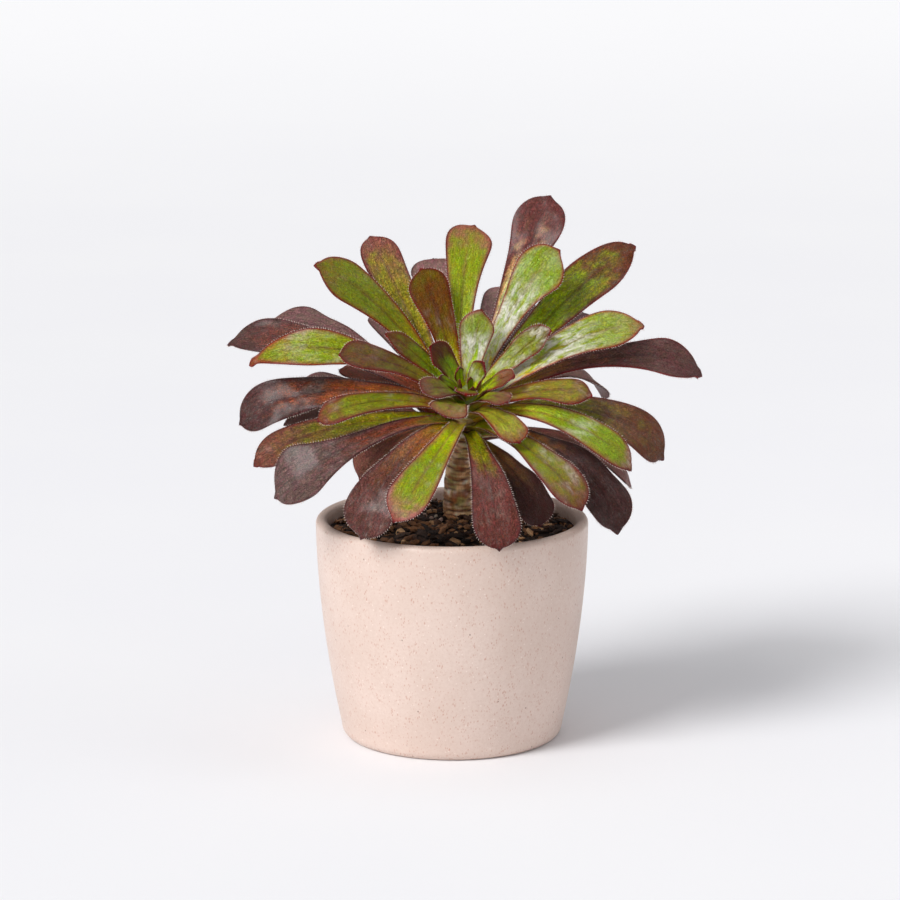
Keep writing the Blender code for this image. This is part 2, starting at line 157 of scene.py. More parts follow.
# Each leaf's colours, in the same order: neck, young green skin, the skin that the sun has flushed,
# how much of it is flushed at five stops from neck to end, margin, then pale waxy veil with its painted
# sheen, and gloss, 0 to 1
LOOKS = {
    # painted light: the buds' colours are set lighter, to lift the shade deep in the rosette
    "bud": [
        ((130, 156, 10), (114, 130, 14), (90, 66, 28), (0, 0, 0.1, 0.3, 0.6), CRIMSON, 0.1, 0.5),
        ((130, 160, 10), (122, 148, 8), (52, 26, 14), (0, 0, 0, 0.3, 0.9), CRIMSON, 0.0, 0.5),
        ((130, 160, 10), (112, 138, 8), (58, 32, 14), (0, 0, 0.1, 0.4, 0.9), CRIMSON, 0.0, 0.5),
        ((112, 134, 14), (124, 142, 36), (90, 52, 44), (0, 0, 0, 0.3, 1), CRIMSON, 0.8, 0.6),
    ],
    "inner": [
        ((124, 150, 6), (98, 126, 4), (74, 46, 26), (0, 0, 0.3, 0.8, 1), CRIMSON, 0.1, 0.5),
        ((170, 190, 40), (116, 138, 12), (110, 76, 50), (0, 0, 0.3, 0.8, 1), CRIMSON, 0.1, 0.6),
        ((140, 176, 12), (102, 124, 18), (92, 66, 44), (0, 0, 0.2, 0.55, 0.8), WINE, 0.12, 0.5),
        ((110, 130, 12), (112, 128, 26), (106, 82, 60), (0, 0, 0.3, 0.6, 0.8), WINE, 0.12, 0.5),
        ((120, 142, 20), (118, 142, 44), (128, 106, 76), (0, 0, 0, 0.05, 0.5), CRIMSON, 0.9, 0.8),
        ((92, 118, 8), (112, 126, 32), (124, 102, 70), (0, 0, 0.3, 0.5, 0.7), WINE, 0.15, 0.4),
        ((118, 140, 20), (108, 124, 14), (88, 72, 24), (0, 0.05, 0.15, 0.35, 0.7), CRIMSON, 0.5, 0.7),
        ((120, 146, 8), (94, 116, 6), (86, 62, 24), (0, 0.1, 0.35, 0.55, 0.85), CRIMSON, 0.1, 0.5),
    ],
    "middle": [
        ((92, 92, 6), (132, 138, 58), (124, 94, 56), (0.2, 0.2, 0.1, 0.15, 0.7), CRIMSON, 0.2, 0.4),
        ((128, 88, 36), (122, 124, 42), (96, 66, 36), (0.5, 0.55, 0.4, 0.35, 0.55), CRIMSON, 0.18, 0.4),
        ((110, 118, 20), (86, 90, 12), (84, 50, 28), (0.1, 0.3, 0.45, 0.5, 0.75), CRIMSON, 0.1, 0.5),
        ((96, 58, 14), (108, 118, 32), (108, 68, 48), (0.7, 0.4, 0.1, 0.15, 0.8), WINE, 0.2, 0.4),
        ((190, 184, 70), (108, 112, 8), (92, 62, 10), (0, 0.2, 0.6, 0.8, 0.5), CRIMSON, 0.15, 0.7),
        ((236, 214, 150), (112, 136, 8), (134, 84, 54), (0.2, 0.1, 0, 0, 0.15), CRIMSON, 0.95, 0.9),
        ((250, 226, 176), (116, 138, 18), (138, 84, 46), (0.3, 0.3, 0.15, 0.05, 0.35), CRIMSON, 0.95, 0.9),
        ((138, 124, 22), (112, 134, 40), (122, 86, 60), (0.3, 0.35, 0.1, 0.05, 0.5), WINE, 0.3, 0.6),
        ((86, 84, 8), (114, 132, 22), (130, 92, 78), (0.4, 0.1, 0, 0.15, 0.85), WINE, 0.2, 0.5),
        ((128, 110, 26), (116, 134, 16), (124, 78, 44), (0.4, 0.2, 0.15, 0.1, 0.75), CRIMSON, 0.25, 0.7),
        ((124, 108, 20), (98, 112, 6), (112, 68, 32), (0.6, 0.35, 0.2, 0.1, 0.45), CRIMSON, 0.1, 0.5),
        ((112, 122, 12), (122, 142, 24), (132, 98, 76), (0.1, 0.1, 0.05, 0.1, 0.75), WINE, 0.08, 0.6),
        ((88, 96, 8), (108, 118, 18), (98, 66, 50), (0.1, 0.2, 0.2, 0.4, 0.75), WINE, 0.25, 0.5),
    ],
    "outer": [
        ((224, 206, 172), (232, 208, 140), (98, 60, 56), (0, 0, 0.05, 0.86, 1), WINE, 0.04, 0.5),
        # painted light: outer_leaf_2's neck and green are set lighter, to lift the shade a leaf above casts
        # on it
        ((190, 196, 40), (132, 158, 8), (98, 60, 34), (0, 0, 0, 0.6, 1), CRIMSON, 0.1, 0.6),
        ((190, 180, 60), (124, 130, 14), (98, 70, 48), (0, 0.1, 0.3, 0.75, 1), WINE, 0.05, 0.5),
        ((124, 136, 22), (108, 116, 30), (96, 58, 52), (0, 0.2, 0.75, 0.95, 1), PLUM, 0.12, 0.6),
        ((122, 120, 26), (112, 80, 40), (90, 62, 56), (0, 0.1, 0.5, 0.85, 1), PLUM, 0.14, 0.7),
        ((124, 134, 8), (116, 120, 20), (116, 80, 64), (0, 0.1, 0.25, 0.65, 1), WINE, 0.08, 0.4),
        ((124, 122, 22), (144, 142, 48), (140, 98, 86), (0, 0, 0, 0.4, 1), WINE, 0.12, 0.5),
        ((220, 180, 80), (140, 110, 60), (64, 46, 43), (0, 0.2, 0.8, 1, 1), PLUM, 0.05, 0.5),
        ((200, 150, 50), (108, 62, 40), (96, 82, 81), (0, 0.15, 0.4, 0.85, 1), PLUM, 0.12, 0.7),
        ((190, 130, 54), (160, 96, 50), (74, 52, 50), (0, 0, 0.4, 0.75, 1), PLUM, 0.1, 0.8),
        ((98, 60, 30), (108, 66, 54), (88, 70, 68), (0, 0.1, 0.1, 0.3, 1), PLUM, 0.05, 0.5),
    ],
    "old": [
        ((112, 108, 20), (110, 88, 50), (86, 66, 64), (0, 0.3, 0.7, 0.95, 1), CRIMSON, 0.05, 0.6),
        ((104, 78, 60), (120, 94, 80), (126, 106, 104), AGED, PLUM, 0.05, 0.3),
        ((70, 44, 34), (110, 74, 62), (120, 92, 88), AGED, DUSK, 0.03, 0.3),
        ((88, 84, 32), (100, 80, 50), (64, 48, 44), (0, 0.2, 0.5, 0.9, 1), PLUM, 0.05, 0.4),
        # painted light: old_leaf_5's colours are set lighter, to lift the shade it lies in
        ((62, 46, 42), (170, 120, 90), (132, 98, 86), AGED, PLUM, 0.05, 0.2),
        ((84, 48, 28), (110, 70, 50), (108, 84, 78), (0, 0.2, 0.6, 0.9, 1), DUSK, 0.1, 0.3),
        ((120, 76, 52), (136, 104, 92), (128, 110, 110), AGED, PLUM, 0.05, 0.3),
        ((118, 78, 60), (104, 78, 74), (108, 92, 92), (0, 0.2, 0.5, 0.85, 1), PLUM, 0.05, 0.4),
        ((96, 70, 60), (90, 70, 66), (102, 86, 84), AGED, DUSK, 0.05, 0.3),
        ((96, 70, 60), (98, 76, 74), (126, 106, 106), AGED, DUSK, 0.08, 0.4),
        ((96, 74, 66), (96, 80, 76), (124, 106, 106), AGED, DUSK, 0.05, 0.3),
        ((90, 66, 58), (80, 62, 58), (86, 72, 72), AGED, DUSK, 0.05, 0.3),
        ((76, 56, 52), (74, 58, 56), (96, 82, 84), AGED, DUSK, 0.05, 0.3),
        ((150, 84, 44), (140, 80, 50), (150, 100, 80), AGED, PLUM, 0.05, 0.3),
    ],
}

HEART_LOOK = ((124, 148, 10), (108, 130, 8), (72, 28, 18), (0, 0, 0, 0.35, 0.9), CRIMSON, 0.0, 0.5)


def linear(colour):
    """Linear light values of an sRGB colour given as 0 to 255."""
    c = np.asarray(colour, float) / 255
    return np.where(c <= 0.04045, c / 12.92, ((c + 0.055) / 1.055) ** 2.4)


def smooth(x):
    x = np.clip(x, 0.0, 1.0)
    return x * x * (3 - 2 * x)


def unit(a):
    return a / np.linalg.norm(a, axis=-1, keepdims=True)


def stem_run():
    """Centres and radii (mm) along the stem's smooth centre line, from its foot to the growing point."""
    points = np.array(STEM_PATH, float)
    last = len(points) - 1
    centres, radii = [], []
    pieces = 4
    for i in range(last):
        p0, p1, p2, p3 = (points[max(0, min(last, i + k))] for k in (-1, 0, 1, 2))
        for j in range(pieces):
            t = j / pieces
            centres.append(
                0.5
                * (
                    2 * p1
                    + (p2 - p0) * t
                    + (2 * p0 - 5 * p1 + 4 * p2 - p3) * t**2
                    + (3 * p1 - p0 - 3 * p2 + p3) * t**3
                )
            )
            radii.append(STEM_RADIUS * (STEM_TAPER[i] + (STEM_TAPER[i + 1] - STEM_TAPER[i]) * t))
    centres.append(points[-1])
    radii.append(STEM_RADIUS * STEM_TAPER[-1])
    return np.array(centres), np.array(radii)


STEM_CENTRES, STEM_RADII = stem_run()


def stem_at(depth):
    """Centre, upward direction and radius of the stem at a distance (mm) below the growing point."""
    centres, radii = STEM_CENTRES[::-1], STEM_RADII[::-1]
    left = depth
    for i in range(len(centres) - 1):
        step = np.linalg.norm(centres[i + 1] - centres[i])
        if left <= step:
            share = left / step
            centre = centres[i] + (centres[i + 1] - centres[i]) * share
            return centre, unit(centres[i] - centres[i + 1]), radii[i] + (radii[i + 1] - radii[i]) * share
        left -= step
    raise ValueError("a leaf base lies below the stem")


def make_mesh(name, points, faces, materials, smooth_faces=True):
    """An object from points in mm and a list of faces."""
    mesh = bpy.data.meshes.new(name)
    mesh.from_pydata((np.asarray(points) * MM).tolist(), [], faces)
    mesh.validate()
    obj = bpy.data.objects.new(name, mesh)
    bpy.context.scene.collection.objects.link(obj)
    for one in materials:
        mesh.materials.append(one)
    if smooth_faces:
        mesh.shade_smooth()
    return obj


def ring_faces(rows, around, flipped=False):
    """Quads between neighbouring rings of points."""
    faces = []
    for i in range(rows - 1):
        for j in range(around):
            k = (j + 1) % around
            a, b, c, d = (row * around + p for row, p in ((i, j), (i + 1, j), (i + 1, k), (i, k)))
            faces.append((a, d, c, b) if flipped else (a, b, c, d))
    return faces


def end_faces(rows, around, flipped=False):
    """The two flat ends of a run of rings."""
    first, last = tuple(range(around)), tuple(range((rows - 1) * around, rows * around))
    return [first[::-1], last] if flipped else [first, last[::-1]]


def set_colours(obj, name, values):
    """Stores one RGB value for each point under a name that the materials read."""
    layer = obj.data.attributes.new(name, "FLOAT_COLOR", "POINT")
    rgba = np.ones((len(values), 4))
    rgba[:, :3] = values
    layer.data.foreach_set("color", rgba.ravel())


def turbulence(points, scale, seed):
    """Soft noise from about -1 to 1 at each point, with features of 1/scale mm."""
    shift = Vector((seed * 7.31, seed * 3.17, seed * 5.71))
    return np.array([noise.noise(Vector(p) * scale + shift) for p in points])


# ---------------------------------------------------------------- material helpers


class Nodes:
    """A short way to build the node tree of a material or of the world."""

    def __init__(self, owner):
        self.owner = owner
        owner.use_nodes = True
        self.tree = owner.node_tree
        self.shader = self.tree.nodes.get("Principled BSDF")

    def add(self, kind):
        return self.tree.nodes.new("ShaderNode" + kind)

    def put(self, socket, value):
        if isinstance(value, bpy.types.NodeSocket):
            self.tree.links.new(value, socket)
        elif isinstance(value, tuple) and len(value) == 3 and socket.type == "RGBA":
            socket.default_value = (*value, 1)
        else:
            socket.default_value = value

    def colour_attribute(self, name):
        node = self.add("Attribute")
        node.attribute_name = name
        return node.outputs["Color"]

    def split(self, vector):
        node = self.add("SeparateXYZ")
        self.put(node.inputs[0], vector)
        return node.outputs

    def position(self):
        return self.add("TexCoord").outputs["Object"]

    def scaled(self, vector, scale, rotation=(0, 0, 0)):
        node = self.add("Mapping")
        self.put(node.inputs["Vector"], vector)
        node.inputs["Scale"].default_value = scale
        node.inputs["Rotation"].default_value = rotation
        return node.outputs["Vector"]

    def noise(self, vector, scale, detail=3.0, roughness=0.55, distortion=0.0):
        node = self.add("TexNoise")
        self.put(node.inputs["Vector"], vector)
        node.inputs["Scale"].default_value = scale
        node.inputs["Detail"].default_value = detail
        node.inputs["Roughness"].default_value = roughness
        node.inputs["Distortion"].default_value = distortion
        return node.outputs["Fac"]

    def cells(self, vector, scale):
        """Distance from the nearest of many scattered points."""
        node = self.add("TexVoronoi")
        self.put(node.inputs["Vector"], vector)
        node.inputs["Scale"].default_value = scale
        return node.outputs["Distance"]

    def math(self, operation, a, b=0.0, clamp=False):
        node = self.add("Math")
        node.operation = operation
        node.use_clamp = clamp
        self.put(node.inputs[0], a)
        self.put(node.inputs[1], b)
        return node.outputs[0]

    def plus(self, a, b, clamp=False):
        return self.math("ADD", a, b, clamp)

    def times(self, a, b, clamp=False):
        return self.math("MULTIPLY", a, b, clamp)

    def span(self, value, low, high, new_low=0.0, new_high=1.0):
        node = self.add("MapRange")
        node.interpolation_type = "SMOOTHSTEP"
        self.put(node.inputs["Value"], value)
        node.inputs["From Min"].default_value = low
        node.inputs["From Max"].default_value = high
        node.inputs["To Min"].default_value = new_low
        node.inputs["To Max"].default_value = new_high
        return node.outputs["Result"]

    def mix(self, share, a, b, kind="MIX"):
        node = self.add("Mix")
        node.data_type = "RGBA"
        node.blend_type = kind
        self.put(node.inputs["Factor"], share)
        self.put(node.inputs["A"], a)
        self.put(node.inputs["B"], b)
        return node.outputs["Result"]

    def grey(self, value):
        node = self.add("CombineXYZ")
        for socket in node.inputs:
            self.put(socket, value)
        return node.outputs[0]

    def bump(self, height, distance, strength=1.0):
        node = self.add("Bump")
        node.inputs["Strength"].default_value = strength
        node.inputs["Distance"].default_value = distance
        self.put(node.inputs["Height"], height)
        return node.outputs["Normal"]

    def finish(self, **sockets):
        """Sets the shader's sockets, named with _ for each space, and gives the material."""
        for name, value in sockets.items():
            self.put(self.shader.inputs[name.replace("_", " ")], value)
        return self.owner


def material_nodes(name):
    return Nodes(bpy.data.materials.new(name))


def rgb(*colour):
    return tuple(float(c) for c in linear(colour))


# How strongly the pale waxy veil, with the painted sheen in it, lies on a leaf
VEIL_AND_SHEEN = 1.3


def leaf_material(name, wrinkle, coat, crest_highlight=0.12, scars=0.0):
    """Waxy leaf skin: colour from the leaf's own map, with streaks, pores, folds, and bloom with a painted
    sheen along it.

    Folds stand out by wrinkle; the third argument is how pale the painted highlight on their crests
    is, and scars is how dark the healed holes are.
    """
    n = material_nodes(name)
    tint = n.colour_attribute("tint")
    place = n.colour_attribute("place")
    bloom_and_sheen, gloss, hair = n.split(n.colour_attribute("finish"))
    streaks = n.noise(n.scaled(place, (30, 120, 10)), 1.0, 4.0, 0.6, 0.8)
    patches = n.noise(n.scaled(place, (22, 34, 8)), 1.0, 4.0, 0.6, 0.8)
    pores = n.noise(n.scaled(place, (150, 170, 20)), 1.0, 3.0, 0.65)
    creases = n.noise(n.scaled(place, (26, 30, 8)), 1.0, 2.5, 0.5, 1.8)
    dots = n.cells(n.scaled(place, (42, 42, 6)), 1.0)

    # green and red pigment lie in uneven patches and streaks
    mottle = n.plus(n.times(patches, 0.5), n.times(streaks, 0.5))
    pigment = n.mix(n.span(mottle, 0.4, 0.6), (0.88, 1.04, 0.9, 1), (1.06, 0.86, 1.02, 1))
    colour = n.mix(1.0, tint, pigment, "MULTIPLY")
    colour = n.mix(1.0, colour, n.grey(n.span(pores, 0.3, 0.7, 0.68, 1.26)), "MULTIPLY")
    fleck = n.times(n.span(dots, 0.1, 0.05), n.span(pores, 0.5, 0.62))
    colour = n.mix(n.times(fleck, 0.6), colour, rgb(60, 34, 20))

    # the pale veil, waxy bloom with a painted sheen, breaks up along the creases
    sheen = n.noise(n.scaled(place, (12, 36, 6)), 1.0, 5.0, 0.58, 0.6)
    veil_and_painted_sheen = n.times(n.span(sheen, 0.34, 0.6), n.span(creases, 0.34, 0.6, 0.4, 1.0))
    veil_and_painted_sheen = n.times(veil_and_painted_sheen, bloom_and_sheen)
    colour = n.mix(n.times(veil_and_painted_sheen, VEIL_AND_SHEEN, clamp=True), colour, rgb(232, 230, 212))

    # long folds, and a net of short ones, get a painted highlight on their crests
    folds = n.noise(n.scaled(place, (16, 85, 9)), 1.0, 3.0, 0.5, 1.2)
    crest = n.span(n.math("ABSOLUTE", n.math("SUBTRACT", folds, 0.5)), 0.035, 0.0)
    nets = n.noise(n.scaled(place, (60, 60, 9)), 1.0, 2.0, 0.5, 1.8)
    net = n.span(n.math("ABSOLUTE", n.math("SUBTRACT", nets, 0.5)), 0.03, 0.0)
    crest = n.math("MAXIMUM", crest, n.times(net, 0.7))
    lit = n.times(n.times(crest, n.span(sheen, 0.4, 0.62)), gloss)
    colour = n.mix(n.times(lit, crest_highlight), colour, rgb(216, 202, 196))
    if scars:
        spots = n.cells(n.scaled(place, (11, 13, 6)), 1.0)
        ragged = n.plus(spots, n.span(pores, 0.3, 0.7, -0.05, 0.09))
        scar = n.times(n.span(ragged, 0.12, 0.08), n.span(patches, 0.5, 0.56))
        colour = n.mix(n.times(scar, scars), colour, rgb(54, 56, 40))
    colour = n.mix(hair, colour, rgb(238, 216, 206))

    height = n.plus(n.times(streaks, 0.35), n.times(pores, 0.15))
    height = n.plus(height, n.times(creases, wrinkle))
    height = n.plus(height, n.times(crest, 0.35 * wrinkle))
    normal = n.bump(height, 0.0007, 1.0)
    rough = n.span(gloss, 0.0, 1.0, 0.44, 0.22)
    rough = n.plus(rough, n.span(pores, 0.3, 0.7, -0.05, 0.07))
    rough = n.plus(rough, n.times(veil_and_painted_sheen, 0.1), clamp=True)
    n.shader.inputs["Coat Weight"].default_value = coat
    n.shader.inputs["Coat Roughness"].default_value = 0.26
    n.shader.inputs["Specular IOR Level"].default_value = 0.18
    return n.finish(Base_Color=colour, Roughness=rough, Normal=normal)


def clay_material():
    """Pale pink stoneware with fine rust and pale flecks under a thin satin glaze."""
    n = material_nodes("speckled_clay")
    place = n.position()
    broad = n.noise(place, 28.0, 3.0)
    grain = n.noise(place, 900.0, 3.0, 0.65)
    wobble = n.noise(place, 260.0, 2.0)
    colour = n.mix(n.span(broad, 0.3, 0.7), rgb(216, 194, 182), rgb(224, 203, 192))
    colour = n.mix(n.span(grain, 0.35, 0.7, 0.0, 0.35), colour, rgb(206, 178, 164))
    rust = None
    for scale, turn, size in ((700, 0.4, 0.23), (560, -0.7, 0.17), (960, 1.3, 0.26)):
        stretched = n.scaled(place, (1.0, 1.0, 0.46), (turn, turn * 0.6, turn))
        distance = n.cells(stretched, float(scale))
        mark = n.span(n.plus(distance, n.span(wobble, 0.3, 0.7, -0.05, 0.09)), size, size * 0.45)
        rust = mark if rust is None else n.math("MAXIMUM", rust, mark)
    gate = n.span(n.noise(place, 190.0, 2.0), 0.3, 0.5)
    rust = n.times(rust, gate)
    colour = n.mix(n.times(rust, 0.6), colour, rgb(190, 134, 112))
    pale = n.cells(n.scaled(place, (1, 1, 1), (0.9, 0.2, 2.0)), 360.0)
    colour = n.mix(n.span(pale, 0.16, 0.06, 0.0, 0.5), colour, rgb(246, 232, 224))
    dark = n.cells(n.scaled(place, (1, 1, 0.8), (2.2, 0.7, 0.1)), 170.0)
    colour = n.mix(n.span(dark, 0.075, 0.035, 0.0, 0.75), colour, rgb(128, 84, 66))
    normal = n.bump(n.plus(grain, n.times(broad, 2.0)), 0.00012, 0.7)
    rough = n.span(grain, 0.3, 0.7, 0.4, 0.5)
    n.shader.inputs["Coat Weight"].default_value = 0.12
    n.shader.inputs["Coat Roughness"].default_value = 0.3
    return n.finish(Base_Color=colour, Roughness=rough, Normal=normal)


def earth_material():
    n = material_nodes("dark_earth")
    place = n.position()
    crumbs = n.noise(place, 420.0, 6.0, 0.7)
    lumps = n.noise(place, 120.0, 4.0)
    colour = n.mix(n.span(crumbs, 0.35, 0.68), rgb(24, 16, 13), rgb(70, 48, 36))
    colour = n.mix(n.span(lumps, 0.5, 0.75, 0.0, 0.5), colour, rgb(52, 34, 26))
    normal = n.bump(n.plus(crumbs, lumps), 0.0012, 1.0)
    return n.finish(Base_Color=colour, Roughness=0.92, Normal=normal)


def chip_material():
    """Bark chips and crumbs: each carries its own colour, with grain along it."""
    n = material_nodes("bark_chips")
    place = n.position()
    tint = n.colour_attribute("tint")
    fibre = n.noise(n.scaled(place, (420, 900, 600), (0.5, 0.3, 0.9)), 1.0, 4.0, 0.65)
    pits = n.noise(place, 900.0, 3.0, 0.7)
    colour = n.mix(1.0, tint, n.grey(n.span(fibre, 0.3, 0.72, 0.55, 1.3)), "MULTIPLY")
    colour = n.mix(n.span(pits, 0.55, 0.75, 0.0, 0.45), colour, rgb(20, 13, 10))
    normal = n.bump(n.plus(fibre, pits), 0.0006, 1.0)
    rough = n.span(fibre, 0.3, 0.7, 0.6, 0.9)
    return n.finish(Base_Color=colour, Roughness=rough, Normal=normal)


def bark_material():
    n = material_nodes("ringed_bark")
    place = n.position()
    tint = n.colour_attribute("tint")
    fibre = n.noise(n.scaled(place, (900, 900, 260)), 1.0, 5.0, 0.65)
    rings = n.noise(n.scaled(place, (160, 160, 1100)), 1.0, 4.0, 0.6)
    colour = n.mix(1.0, tint, n.grey(n.span(fibre, 0.3, 0.7, 0.75, 1.2)), "MULTIPLY")
    colour = n.mix(n.span(rings, 0.52, 0.72, 0.0, 0.3), colour, rgb(92, 56, 34))
    normal = n.bump(n.plus(fibre, rings), 0.0004, 1.0)
    rough = n.span(rings, 0.3, 0.7, 0.42, 0.7)
    return n.finish(Base_Color=colour, Roughness=rough, Normal=normal)


def floor_material():
    n = material_nodes("pale_floor")
    place = n.position()
    haze = n.noise(place, 3.0, 2.0)
    colour = n.mix(n.span(haze, 0.3, 0.7), rgb(236, 236, 240), rgb(238, 238, 241))
    far = n.add("VectorMath")
    far.operation = "LENGTH"
    n.put(far.inputs[0], place)
    colour = n.mix(n.span(far.outputs["Value"], 0.2, 3.5), colour, rgb(253, 253, 255))
    n.shader.inputs["Specular IOR Level"].default_value = 0.0
    return n.finish(Base_Color=colour, Roughness=0.9)


# ---------------------------------------------------------------- leaves

# Rings of points along a leaf, and points round each ring
ROWS = 84
ROUND = 44
# How far along a leaf each of its five shares of red lies
RED_STOPS = (0.08, 0.3, 0.5, 0.72, 0.95)
# From the colour that is seen to the skin's own: green and flushed skin, and the grey shine on both
SKIN_LIFT = np.array([1.74, 1.58, 0.76])
FLUSH_LIFT = np.array([1.74, 1.3, 1.14])
SKIN_SHINE = np.array([0.012, 0.012, 0.008])
DARKEST = 0.0008
# How much brighter the necks are painted, as painted light against the rosette's shade
NECK_PAINTED_LIGHT = 2.6
MARGIN_SHADE = 0.62
# Share of each of a flushed colour's parts that is left where the skin is ripest
RIPE_SHADE = np.array([0.7, 0.34, 0.42])
UNDERSIDE = (104, 68, 58)
# Leaves sink this far (mm) into the stem
ROOT_DEPTH = 0.8
# Margin hairs, in mm
HAIR_THICK = 0.18
HAIR_LONG = (0.7, 1.3)
HAIR_SPACING = (0.8, 1.4)


def half_width(s, width, point, shape, length):
    """Half the width (mm) of a spoon-shaped leaf along s, drawn out to a small sharp point at its end."""
    taper, widest, neck_half = shape
    full = width / 2
    neck = min(neck_half / full, 0.6)
    widest = widest - 0.08 * point
    rise = neck + (1.06 - neck) * (s / widest) ** taper
    shoulder = widest - 0.15
    end = 1 - 0.02 - 0.02 * point
    t = np.clip((s - shoulder) / (end - shoulder), 0, 1)
    roundness = max(3.2 - 1.3 * point, 1.5)
    cap = (1 - t**roundness) ** (0.52 + 0.2 * point + 0.3 * max(0.0, point - 0.8))
    cap = np.maximum(cap, 1e-3)
    outline = (rise**-9.0 + cap**-9.0) ** (-1 / 9)
    to_go = (1.0 - s) * length
    cusp = np.minimum(0.85 * to_go + 0.1, 2.6 * min(1.0, width / 22))
    return ((full * outline) ** 5 + cusp**5) ** 0.2


def leaf_axis(row, s):
    """Centre (mm), direction across the blade and its normal, at each s along a leaf."""
    depth, tip, arch, sway, _, roll, _ = row
    tip = np.array(tip, float)
    centre, stem_up, radius = stem_at(depth)
    reach = unit(tip - centre)
    out = unit(reach - stem_up * reach.dot(stem_up))
    base = centre + out * (radius - ROOT_DEPTH)
    chord = tip - base
    up = unit(stem_up - chord * stem_up.dot(chord) / chord.dot(chord))
    side = unit(np.cross(chord, up))
    lift = 4 / 3 * (arch * up + sway * side)
    near = base + (tip - base) * 0.25 + lift
    far = base + (tip - base) * 0.85 + lift
    s = s[:, None]
    r = 1 - s
    middle = base * r**3 + near * 3 * s * r**2 + far * 3 * s**2 * r + tip * s**3
    along = unit((near - base) * r**2 + (far - near) * 2 * s * r + (tip - far) * s**2)
    across = unit(np.cross(along, up))
    normal = unit(np.cross(across, along))
    angle = np.radians(roll) * smooth(s * 1.5)
    turned_across = across * np.cos(angle) + normal * np.sin(angle)
    turned_normal = normal * np.cos(angle) - across * np.sin(angle)
    return middle, turned_across, turned_normal


def leaf_points(name, row, draw):
    """Points of a leaf's skin as rows of closed rings, with each one's place on the leaf.

    S is the share of the leaf's length and V goes from -1 to 1 across it, both for every point.
    """
    width, point = row[4], row[6]
    u = np.linspace(0, 1, ROWS)
    s = 1 - (1 - u) ** 1.35
    theta = np.linspace(0, 2 * np.pi, ROUND, endpoint=False)
    v = np.sin(theta)
    top = np.where(np.cos(theta) >= 0, 1.0, -1.0)
    middle, across, normal = leaf_axis(row, s)
    length = np.linalg.norm(np.diff(middle, axis=0), axis=1).sum()
    half = half_width(s, width, point, SHAPES.get(name, SPOON), length)
    S = s[:, None] * np.ones_like(v)
    V = v[None, :] * np.ones_like(s)[:, None]
    H = half[:, None]

    channel = 0.42 * (1 - smooth(S / 0.75)) + 0.1 + draw.uniform(-0.03, 0.05)
    rise = H * channel * (V * V - 0.3)
    # edges wave a little, and the end dips or lifts
    beats = draw.uniform(1.2, 2.4)
    phase = draw.uniform(0, 6.28)
    wave = draw.uniform(0.25, 0.7) * width / 20
    rise = rise + wave * V * abs(V) * np.sin(2 * np.pi * beats * S + phase) * smooth(S / 0.4)
    rise = rise + wave * 0.7 * V**2 * np.sin(2 * np.pi * beats * 1.7 * S + 2 * phase) * smooth(S / 0.4)
    # the midrib lies in a shallow groove
    groove = np.exp(-((V * H / 0.8) ** 2)) * (1 - smooth((S - 0.6) / 0.35))
    rise = rise - 0.3 * groove
    thick = min(2.4, 0.17 * width + 0.5) / 2
    end = np.minimum(1.0, 0.7 + 1.2 * S) * (1 - 0.5 * S**3)
    body = thick * end * (1 - 0.62 * V**2) * np.sqrt(np.maximum(0, 1 - V**12))
    body = np.minimum(body, H * 0.55 * np.sqrt(np.maximum(0, 1 - V**4)))
    body = body * (1 + 0.35 * np.where(top < 0, groove, 0))
    points = (
        middle[:, None, :]
        + across[:, None, :] * (H * V)[..., None]
        + normal[:, None, :] * (rise + top * body)[..., None]
    )
    flat = points.reshape(-1, 3)
    outward = (normal[:, None, :] * top[None, :, None] * np.ones_like(S)[..., None]).reshape(-1, 3)
    seed = draw.uniform(0, 50)
    dents = turbulence(flat, 0.16, seed) * 0.35 + turbulence(flat, 0.5, seed + 3) * 0.1
    fade = (smooth(S / 0.3) * (1 - 0.7 * V**4)).reshape(-1)
    flat = flat + outward * (dents * fade)[:, None]
    return flat, S, V, half, top, length


def skin_colour(colour):
    """The skin's own colour under the grey shine that lies on it as one sees it."""
    green = colour[1] > 0.95 * colour[0]
    shone = linear(colour) * (SKIN_LIFT if green else FLUSH_LIFT)
    return np.maximum(shone - SKIN_SHINE, DARKEST)


def blend(colours, other, share):
    """Colours taken towards another by a share for each point, or by one share for all."""
    share = np.asarray(share)
    return colours + (other - colours) * (share[:, None] if share.ndim else share)


